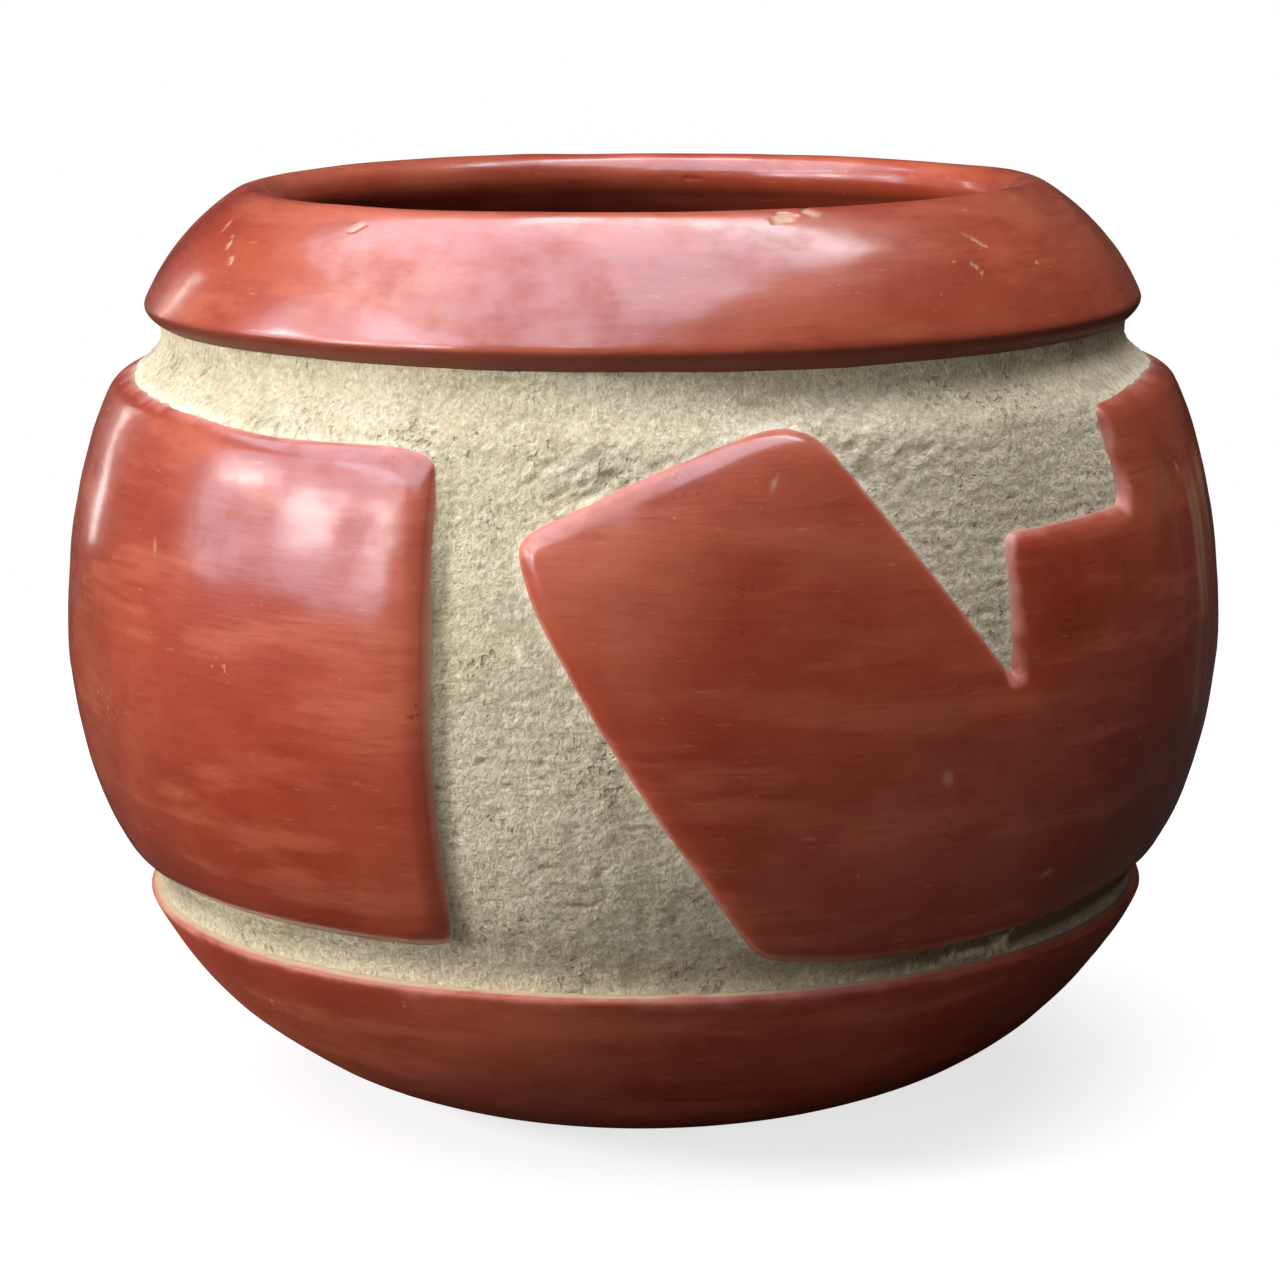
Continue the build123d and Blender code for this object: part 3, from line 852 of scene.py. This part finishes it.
def ground_marks(outside, near, end_edges):
    """Pits, pale halo, and grime with painted shadow on the scraped ground, each from 0 to 1.

    The halo lies along the panels' edges and on crumbs. Stains and a painted shadow lie under the panels'
    lower edges, most of them at the right, and a painted shadow lies beside the panels' ends, growing
    downwards.
    """
    level = outside[..., 2]
    pit = np.maximum(scraped_pits(outside), 0.9 * smooth(-0.12, -0.42, slanted_drags(outside)))
    turn = np.degrees(np.arctan2(outside[..., 0], -outside[..., 1]))
    turn = np.mod(turn - BAND_START, PANEL_TURN) + BAND_START
    spread = flat(np.stack([turn, level], axis=-1))
    gap = outline_gap(spread, near)
    end_gap = np.minimum(*[outline_gap(spread, end_edge) for end_edge in end_edges])
    pale = 0.7 * smooth(2.4, 0.4, gap + 0.6 * noise(outside, 3, 33)) * smooth(5.0, 9.0, end_gap)
    pale = pale * smooth(84, 92, level)
    halo = np.maximum(pale, nicked(outside, GROUND_CRUMBS))
    stain = noise(outside, (36, 36, 12), 27) + 0.8 * noise(outside, (7, 7, 3), 28)
    stain = stain + 0.5 * noise(outside, 2.5, 29)
    # stronger towards the right, where soot and painted shade darken the groove
    sooty = 0.28 + 0.72 * smooth(70, 25, np.abs(angle_apart(outside, SOOT_AND_SHADE_ANGLE)))
    # painted shadow of the panels' overhang, darkest just under their lower edges
    shadow_under_edge = smooth(10.5, 2.0, gap) * smooth(97, 90, level)
    stained = 0.5 * np.exp(-((level - 90) / 6) ** 2) * smooth(0.0, 1.0, stain)
    groove = sooty * np.maximum(1.2 * shadow_under_edge * smooth(-0.9, 0.6, stain + 1.2 * sooty - 0.3), stained)
    # painted shadow beside the panels' ends, faint near the top and growing downwards
    beside = smooth(6.5, 1.5, end_gap + 0.9 * noise(outside, (3, 3, 6), 34))
    corner = (0.2 + 0.5 * smooth(240, 195, level)) * beside
    return {"pit": pit, "halo": halo, "grime_and_shadow": np.maximum(groove, corner)}


def wall_coils():
    """The stacked coils: each a ring of the scraped wall between two lap joints."""
    coil = (COLLAR_FOOT - BASE_TOP) / COILS
    near = np.concatenate([OUTLINE[::10], OUTLINE[:1]])
    end_edge = flat([END_FOOT, END_HEAD]) + [[0, 5], [0, -7]]
    end_edges = (end_edge, end_edge - [radians(PANEL_TURN) * FLAT_RADIUS, 0])
    for step in range(COILS):
        low = BASE_TOP + coil * step
        levels = np.linspace(low, low + coil, WALL_ROWS)
        outer_line = np.stack([ground_radius(levels), levels], axis=1)
        outside = spin(outer_line, scraped_relief, WALL_STEPS)
        inner_levels = np.linspace(low + coil + LAP_RISE, low + LAP_RISE, 11)
        inner_line = np.stack([inner_radius(inner_levels), inner_levels], axis=1)
        inside = spin(inner_line, inside_relief, WALL_STEPS)
        rows, seam = closed_ring(outside, inside)
        marks = {key: np.zeros(rows.shape[:2]) for key in ("pit", "halo", "grime_and_shadow", "inside")}
        for key, values in ground_marks(outside, near, end_edges).items():
            marks[key][:, :WALL_ROWS] = values
        marks["inside"][:, WALL_ROWS + JOINT_ROWS:] = 1
        name = f"wall_coil_{step + 1}"
        faces = ring_faces(*rows.shape[:2])
        piece = make_piece(name + "_scraped", rows.reshape(-1, 3), faces, SCRAPED_CLAY, marks, seam)
        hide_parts(name)


def collar_and_lip():
    """The collar and the lip: one section line cut at the lip's seat, outside and in the throat."""
    line = evenly(softened(collar_outside(), CREASE), 205)
    crest = int(np.argmax(line[:, 1]))
    outer_seat = int(np.argmin(np.abs(line[:crest, 1] - LIP_SEAT)))
    inner_seat = crest + int(np.argmin(np.abs(line[crest:, 1] - LIP_SEAT)))
    line[0] = (NECK_RADIUS, COLLAR_FOOT)
    skin = spin(line, lambda points: burnished_relief(points) - 0.35 * nicked(points, COLLAR_NICKS))
    collar = closed_ring(skin[:, :outer_seat + 1], skin[:, inner_seat:])
    round_lip = skin[:, outer_seat:inner_seat + 1]
    lip_rows = np.concatenate([round_lip, joint_rows(round_lip[:, -1], round_lip[:, 0])], axis=1)
    lip = lip_rows, seam_rows(lip_rows, [0, round_lip.shape[1] - 1])
    nose = COLLAR_FOOT + NOSE_RISE
    for name, (rows, seam) in (("rim_collar", collar), ("mouth_lip", lip)):
        radius = np.hypot(rows[..., 0], rows[..., 1])
        level = rows[..., 2]
        depth = smooth(302.0, 282.0, level) * (radius < CREST_RADIUS + 20)
        inner = np.zeros(rows.shape[:2])
        inner[radius < np.interp(level, [COLLAR_FOOT, CREST], [159.0, 131.0])] = 1
        under = smooth(nose + 0.3, nose - 0.9, level) * (1 - inner)
        bare = 0.38 * nicked(rows, COLLAR_NICKS) * (1 - inner)
        # painted shade: the band under the nose and the throat deeper down take the dark inside tone
        inside_and_shade = np.maximum(inner * depth * 0.75, 0.8 * under)
        polish = 1 - np.maximum(inner * depth, 0.9 * under)
        marks = {"wear_and_highlight": 0 * bare, "bare": bare, "inside": inside_and_shade, "polish": polish}
        faces = ring_faces(*rows.shape[:2])
        piece = make_piece(name + "_burnished", rows.reshape(-1, 3), faces, RED_SLIP, marks, seam)
        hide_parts(name)


def bowl_inside():
    """The base's inner line: a cubic curve from the lap joint at the wall down to the flat floor."""
    hip_level = BASE_TOP + LAP_RISE
    hip = np.array([float(inner_radius(np.array(hip_level))), hip_level])
    floor_edge = np.array([FLOOR_RADIUS, FLOOR_LEVEL])
    upper_pull = np.array([hip[0] - 24.0, 34.0])
    lower_pull = np.array([FLOOR_RADIUS + 48.0, FLOOR_LEVEL])
    share = np.linspace(0, 1, 20)[:, None]
    line = (1 - share) ** 3 * hip + 3 * share * (1 - share) ** 2 * upper_pull
    return line + 3 * share ** 2 * (1 - share) * lower_pull + share ** 3 * floor_edge


def base_marks(rows, first, last):
    """The base's wear, bare clay, inside and polish: rubbed and bare along its top edge, less under soot."""
    level = rows[..., 2]
    radius = np.hypot(rows[..., 0], rows[..., 1])
    ragged = 0.9 * noise(rows, (9, 9, 4), 31) + 0.5 * noise(rows, (3.5, 3.5, 3), 32)
    on_side = np.zeros(rows.shape[:2])
    on_side[:, first:last] = 1
    sooty = smooth(62, 28, np.abs(angle_apart(rows, BASE_SOOT_ANGLE)))
    wear_and_highlight = 0.6 * smooth(67.0, 72.0, level + 1.8 * ragged) * on_side * (1 - 0.8 * sooty)
    bare = 0.7 * smooth(171.9, 170.7, radius + 0.7 * ragged) * smooth(69.0, 70.0, level) * on_side
    bare = bare * (1 - 0.7 * sooty)
    within = np.zeros(rows.shape[:2])
    within[:, last:] = 1
    return {"wear_and_highlight": wear_and_highlight, "bare": bare, "inside": within, "polish": 0.12 - 0.12 * within}


def base_bowl():
    """The base: foot, side and ledge outside, bowl and floor inside, closed by a pole under and over.

    The wobble fades out at the foot, which stays flat.
    """
    outer = evenly(softened(base_outside(), 1.2), 88)
    outer[0] = (FOOT_RADIUS, 0)
    outer[-1] = (HIP_RADIUS + HIP_FLARE, BASE_TOP)
    still = smooth(2.0, 14.0, outer[:, 1])[None, :]
    outside = spin(outer, lambda points: burnished_relief(points) * still - hand_wobble(points) * (1 - still))
    inside = spin(bowl_inside(), inside_relief)
    top = joint_rows(outside[:, -1], inside[:, 0])
    shares = np.array([0.25, 0.5, 0.75])[None, :, None]
    sole = outside[:, :1] * shares * np.array([1, 1, 0])
    floor_rows = inside[:, -1:] * (1 - shares) + np.array([0, 0, FLOOR_LEVEL]) * shares
    rows = np.concatenate([sole, outside, top, inside, floor_rows], axis=1)
    rounds, count = rows.shape[:2]
    index = np.arange(rounds * count).reshape(rounds, count)
    across = np.roll(index, -1, axis=0)
    sides = np.stack([index[:, :-1], across[:, :-1], across[:, 1:], index[:, 1:]], axis=-1).reshape(-1, 4)
    foot_pole, floor_pole = np.zeros((2, rounds), int) + [[rounds * count], [rounds * count + 1]]
    under = np.stack([foot_pole, across[:, 0], index[:, 0], index[:, 0]], axis=-1)
    over = np.stack([index[:, -1], across[:, -1], floor_pole, floor_pole], axis=-1)
    faces = np.concatenate([sides, under, over])
    points = np.concatenate([rows.reshape(-1, 3), [[0, 0, 0], [0, 0, FLOOR_LEVEL]]])
    first = sole.shape[1]
    last = first + outside.shape[1]
    marks = base_marks(rows, first, last)
    marks = {key: np.concatenate([value.ravel(), value[0, [0, -1]]]) for key, value in marks.items()}
    seam = seam_rows(rows, [first, last - 1, last + top.shape[1]])
    seam = np.concatenate([seam.ravel(), [False, False]])
    piece = make_piece("base_bowl_burnished", points, faces, RED_SLIP, marks, seam)
    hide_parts("base_bowl")


def outline_stretch(first, last, count):
    """Points along the outline from one corner to another."""
    return on_outline(np.linspace(OUTLINE_AT[first], OUTLINE_AT[last], count))


def panel_faces(edge):
    """A panel's faces, front and back joined along the edge, and which of the two grids' points they use."""
    columns, rows = edge.shape
    index = np.arange(columns * rows).reshape(columns, rows)
    behind = np.where(edge, index, index + columns * rows)
    used = np.unique(np.concatenate([index.ravel(), behind.ravel()]))
    renumber = np.zeros(2 * columns * rows, int)
    renumber[used] = np.arange(len(used))
    front = np.stack([index[:-1, :-1], index[1:, :-1], index[1:, 1:], index[:-1, 1:]], axis=-1)
    back = np.stack([behind[:-1, :-1], behind[:-1, 1:], behind[1:, 1:], behind[1:, :-1]], axis=-1)
    return renumber[np.concatenate([front.reshape(-1, 4), back.reshape(-1, 4)])], used


def panel_marks(plain, gap, block_gap):
    """A panel's wear with a painted highlight on the stepped block's edges, bare clay, inside, polish and
    weathered stretch, each from 0 to 1.
    """
    level = plain[..., 2]
    ragged = 0.8 * noise(plain, 5, 41) + 0.5 * noise(plain, 2.2, 42)
    streak = 2.2 * noise(plain, (3.0, 3.0, 14), 43)
    # rubbed pink on the stepped block's edges, partly a painted highlight where they face the light
    rubbed_and_lit_steps = 0.95 * smooth(5.2, 1.6, block_gap + ragged + 0.8 * streak)
    wear_and_highlight = np.maximum(rubbed_and_lit_steps, 0.4 * smooth(3.0, 0.8, gap + ragged))
    bare = np.maximum(0.4 * smooth(1.0, 0.4, gap + 0.2 * ragged), 0.28 * nicked(plain, PANEL_NICKS))
    weathered = smooth(19, 5, np.abs(angle_apart(plain, WEATHER_ANGLE)))
    weathered = weathered * smooth(104, 142, level) * smooth(236, 208, level)
    none = np.zeros(gap.shape)
    return {"wear_and_highlight": wear_and_highlight, "bare": bare, "inside": none, "polish": 0.95 + none, "weathered": weathered}


def relief_panels():
    """The two panels: the flat grid bent round the wall, rising from its buried outline to the raised face.

    The rise is a steep roll near the outline and a slow swell farther in.
    """
    grid, gap, pillow, edge = panel_grid()
    block_edges = (outline_stretch(BLOCK, STEP_BACK, 40), outline_stretch(STEP_CORNER, NOTCH, 40))
    block_gap = np.minimum(*[outline_gap(grid, block_edge) for block_edge in block_edges])
    end_gap = outline_gap(grid, outline_stretch(END_FOOT, END_HEAD, 80))
    roll = ROLL + END_ROLL * smooth(17, 4, end_gap)
    share = np.clip(pillow / roll, 0, 1)
    swell = np.clip(pillow / SWELL, 0, 1)
    rise = 0.70 * (1 - (1 - share) ** 2.2) ** 0.6 + 0.30 * (1 - (1 - swell) ** 2)
    level = grid[..., 1]
    angle = grid[..., 0] / FLAT_RADIUS
    ground = ground_radius(level)
    face = belly_radius(level) + RELIEF
    front_radius = ground - BURY + (face - ground + BURY) * rise
    back_radius = ground - BURY - BACKING * np.clip(gap / 6.0, 0, 1)
    faces, used = panel_faces(edge)
    seam = np.concatenate([edge.ravel(), edge.ravel()])[used]
    for number, name in enumerate(("front_relief_panel", "back_relief_panel")):
        turn = angle + radians(PANEL_TURN) * number
        plain = around(turn, face, level)
        lively = hand_wobble(plain) + (burnished_relief(plain) - 0.3 * nicked(plain, PANEL_NICKS)) * rise
        shown = around(turn, front_radius + lively, level)
        hidden = around(turn, back_radius + lively, level)
        points = np.concatenate([shown.reshape(-1, 3), hidden.reshape(-1, 3)])[used]
        marks = panel_marks(plain, gap, block_gap)
        marks = {key: np.concatenate([value.ravel(), value.ravel()])[used] for key, value in marks.items()}
        piece = make_piece(name + "_burnished", points, faces, RED_SLIP, marks, seam)
        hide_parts(name)


wall_coils()
collar_and_lip()
base_bowl()
relief_panels()


# Stage, light and camera

def floor():
    """A plain pale floor: it keeps the pot's shadow near the pot and goes to white farther out."""
    reach = 8.0
    corners = [(-reach, -reach, 0), (reach, -reach, 0), (reach, reach, 0), (-reach, reach, 0)]
    mesh = bpy.data.meshes.new("floor")
    mesh.from_pydata(corners, [], [(0, 1, 2, 3)])
    piece = bpy.data.objects.new("floor", mesh)
    bpy.context.scene.collection.objects.link(piece)
    material = bpy.data.materials.new("pale_floor")
    material.use_nodes = True
    tree = material.node_tree
    tree.nodes.clear()
    add = node_maker(tree)
    path = add("ShaderNodeLightPath").outputs
    place = add("ShaderNodeTexCoord").outputs["Object"]
    away = add("ShaderNodeVectorMath", {0: place}, operation="LENGTH").outputs["Value"]
    far = ramp(add, away, 0.35, 1.0)
    seen = value_of(add, "MAXIMUM", path["Is Camera Ray"], path["Is Transmission Ray"])
    dim = add("ShaderNodeBsdfDiffuse", {"Color": (0.10, 0.095, 0.09, 1)}).outputs[0]
    mirrored = add("ShaderNodeBsdfDiffuse", {"Color": (0.03, 0.03, 0.03, 1)}).outputs[0]
    pale = add("ShaderNodeBsdfDiffuse", {"Color": (0.42, 0.42, 0.42, 1)}).outputs[0]
    glow = add("ShaderNodeEmission", {"Strength": 0.74}).outputs[0]
    white = add("ShaderNodeEmission", {"Strength": 1.0}).outputs[0]
    near = add("ShaderNodeAddShader", {0: pale, 1: glow}).outputs[0]
    studio = add("ShaderNodeMixShader", {0: far, 1: near, 2: white}).outputs[0]
    bounce = add("ShaderNodeMixShader", {0: path["Is Glossy Ray"], 1: dim, 2: mirrored}).outputs[0]
    final = add("ShaderNodeMixShader", {0: seen, 1: bounce, 2: studio}).outputs[0]
    add("ShaderNodeOutputMaterial", {"Surface": final})
    mesh.materials.append(material)


def studio_world():
    """White behind the pot for the camera, and a dim even room for everything else."""
    world = bpy.data.worlds.new("studio")
    world.use_nodes = True
    tree = world.node_tree
    tree.nodes.clear()
    add = node_maker(tree)
    path = add("ShaderNodeLightPath").outputs
    clear = value_of(add, "MAXIMUM", path["Is Camera Ray"], path["Is Transmission Ray"])
    room = add("ShaderNodeBackground", {"Color": (0.80, 0.86, 0.95, 1), "Strength": 0.03}).outputs[0]
    white = add("ShaderNodeBackground", {"Color": (1, 1, 1, 1), "Strength": 1.0}).outputs[0]
    both = add("ShaderNodeMixShader", {0: clear, 1: room, 2: white}).outputs[0]
    add("ShaderNodeOutputWorld", {"Surface": both})
    bpy.context.scene.world = world


def soft_box(name, place, tilt, turn, size, bright, colour, shine=True, light=True):
    """A rectangular studio lamp: facing down, then tipped up by tilt and swung by turn.

    Its brightness is that of its own face. It gives diffuse light where light is set and is mirrored in the
    polish where shine is set.
    """
    lamp = bpy.data.lights.new(name, "AREA")
    lamp.shape = "RECTANGLE"
    lamp.size, lamp.size_y = size
    lamp.energy = bright * pi * size[0] * size[1]
    lamp.color = colour
    piece = bpy.data.objects.new(name, lamp)
    piece.location = place
    piece.rotation_euler = (radians(tilt), 0, radians(turn))
    piece.visible_diffuse = light
    piece.visible_glossy = shine
    bpy.context.scene.collection.objects.link(piece)


def photo_camera():
    """The camera at the photograph's place: in front, above the rim, tilted down and hardly rolled."""
    camera = bpy.data.cameras.new("camera")
    camera.sensor_width = 36.0
    camera.lens = CAMERA_LENS
    camera.shift_x = CAMERA_SHIFT
    camera.clip_end = 50.0
    piece = bpy.data.objects.new("camera", camera)
    tilt = Matrix.Rotation(radians(90 - CAMERA_DOWN), 4, "X") @ Matrix.Rotation(radians(CAMERA_ROLL), 4, "Z")
    piece.matrix_world = Matrix.Translation(CAMERA_PLACE) @ tilt
    bpy.context.scene.collection.objects.link(piece)
    bpy.context.scene.camera = piece


floor()
studio_world()
soft_box("key_left", (-2.90, -0.72, 1.15), 70, -76, (0.84, 0.84), 40.0, (1.0, 0.98, 0.95), shine=False)
soft_box("sky", (-0.60, -0.40, 2.20), 0, -24, (2.8, 3.0), 2.6, (0.98, 0.95, 1.0), shine=False)
soft_box("sky_shine", (-0.75, -0.68, 1.60), 0, -24, (2.1, 2.7), 3.9, (0.62, 0.80, 1.0), light=False)
soft_box("sky_edge", (0.22, 0.30, 1.58), 0, -20, (1.1, 0.26), 5.0, (0.95, 0.97, 1.0), light=False)
soft_box("right_fill", (0.8, 0.1, 1.9), 20, 90, (1.0, 1.0), 4.0, (1.0, 0.97, 0.93), shine=False)
soft_box("front_fill", (-0.9, -2.4, 0.75), 76, -20, (1.8, 1.2), 2.6, (1.0, 0.97, 0.93), shine=False)
soft_box("window_left", (-2.10, -0.75, 1.12), 74, -72, (2.4, 1.7), 3.4, (0.74, 0.82, 1.0), light=False)
soft_box("pane_back", (-2.24, -0.11, 1.06), 74, -72, (0.5, 0.26), 9.0, (1.0, 0.98, 0.98), light=False)
soft_box("pane_middle", (-2.00, -0.84, 0.86), 74, -72, (0.45, 0.36), 8.0, (1.0, 0.98, 0.98), light=False)
soft_box("pane_front", (-1.78, -1.54, 0.90), 74, -72, (0.4, 0.44), 9.0, (1.0, 0.98, 0.98), light=False)
soft_box("window_bar", (-1.5, 1.6, 0.5), 85, -137, (0.09, 0.9), 8.0, (1.0, 0.97, 0.95), light=False)
photo_camera()
bpy.context.scene.view_settings.view_transform = "Standard"
